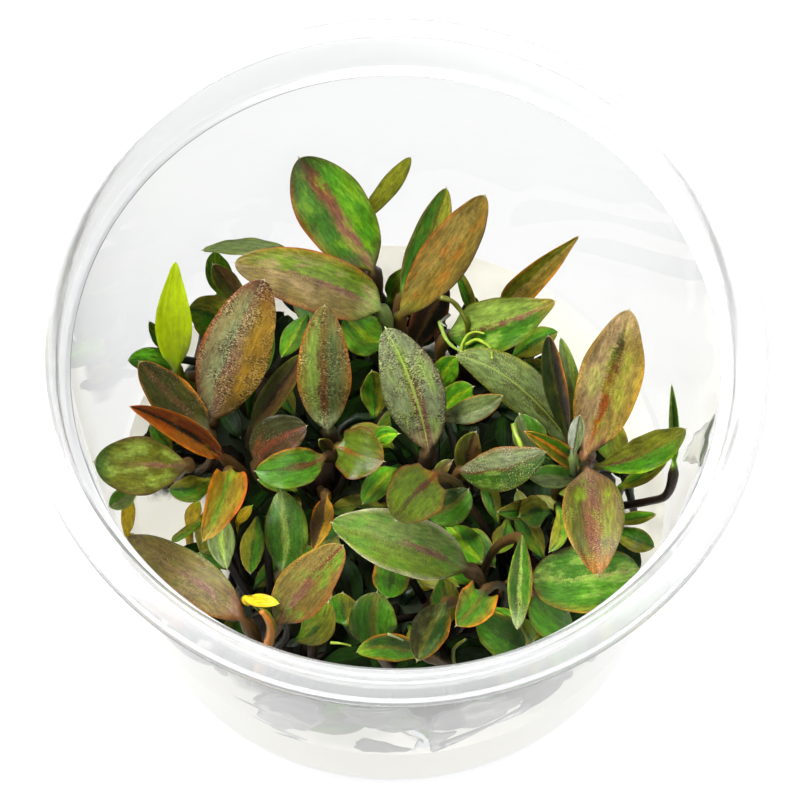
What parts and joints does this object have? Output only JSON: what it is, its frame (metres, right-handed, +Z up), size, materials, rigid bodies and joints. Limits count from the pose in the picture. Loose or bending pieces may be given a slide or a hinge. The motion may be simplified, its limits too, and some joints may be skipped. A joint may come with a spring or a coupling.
{
  "type": "dwarf water trumpet plant in a tissue culture cup",
  "caption": "Young water trumpet plantlets with oval green and bronze leaves, growing on a bed of gel in a round, open, see-through plastic cup with a rolled rim.",
  "frame": {"origin": "centre of the cup where it stands on the surface", "axes": "+Z up along the axis of the cup, -Y towards the side that the plantlets lean out to"},
  "size_m": [0.1054, 0.1054, 0.0738],
  "materials": {
    "clear_plastic": "see-through, slightly milky, moulded smooth",
    "gel": "wet, soft and cloudy",
    "crown_green": "living stem and young leaf, satin",
    "leaf_green": "living leaf, satin",
    "leaf_dark_green": "living leaf, satin",
    "leaf_lime": "thin leaf that light shines through",
    "leaf_bronze": "living leaf, satin with a fine glitter",
    "leaf_rust": "living leaf, satin"
  },
  "bodies": {
    "root": {"crown_back": "crown_green", "crown_backleft": "crown_green", "crown_backright": "crown_green", "crown_centre": "crown_green", "crown_centreleft": "crown_green", "crown_front": "crown_green", "crown_frontleft": "crown_green", "crown_frontright": "crown_green", "crown_left": "crown_green", "crown_right": "crown_green", "cup": "clear_plastic", "leaf_back_broad": "leaf_green", "leaf_back_dark": "leaf_dark_green", "leaf_back_level": "leaf_bronze", "leaf_back_middle": "leaf_green", "leaf_back_narrow": "leaf_dark_green", "leaf_back_rust": "leaf_rust", "leaf_backright_slender": "leaf_bronze", "leaf_backright_twisted": "leaf_green", "leaf_centre_bright": "leaf_green", "leaf_centre_round": "leaf_green", "leaf_centre_speckled": "leaf_bronze", "leaf_centre_striped": "leaf_green", "leaf_front_corner": "leaf_dark_green", "leaf_front_heart": "leaf_green", "leaf_front_large": "leaf_green", "leaf_front_low": "leaf_green", "leaf_front_olive": "leaf_dark_green", "leaf_front_round": "leaf_green", "leaf_front_shaded": "leaf_green", "leaf_frontleft_bronze": "leaf_bronze", "leaf_frontleft_green": "leaf_green", "leaf_frontleft_grey": "leaf_green", "leaf_frontleft_large": "leaf_bronze", "leaf_frontright_freckled": "leaf_green", "leaf_frontright_low": "leaf_green", "leaf_frontright_upright": "leaf_green", "leaf_frontright_wide": "leaf_green", "leaf_left_edged": "leaf_green", "leaf_left_folded": "leaf_rust", "leaf_left_lime": "leaf_lime", "leaf_left_olive": "leaf_dark_green", "leaf_left_outer": "leaf_dark_green", "leaf_left_speckled": "leaf_bronze", "leaf_left_thin": "leaf_dark_green", "leaf_left_wide": "leaf_bronze", "leaf_middle_brown": "leaf_bronze", "leaf_middle_edged": "leaf_green", "leaf_middle_kidney": "leaf_green", "leaf_middle_speckled": "leaf_bronze", "leaf_middle_yellowing": "leaf_bronze", "leaf_right_broad": "leaf_bronze", "leaf_right_dark": "leaf_dark_green", "leaf_right_folded": "leaf_rust", "leaf_right_front": "leaf_bronze", "leaf_right_grey": "leaf_green", "leaf_right_hanging": "leaf_green", "leaf_right_rolled": "leaf_dark_green", "leaf_right_wavy": "leaf_green", "nutrient_gel": "gel"}
  },
  "joints": []
}
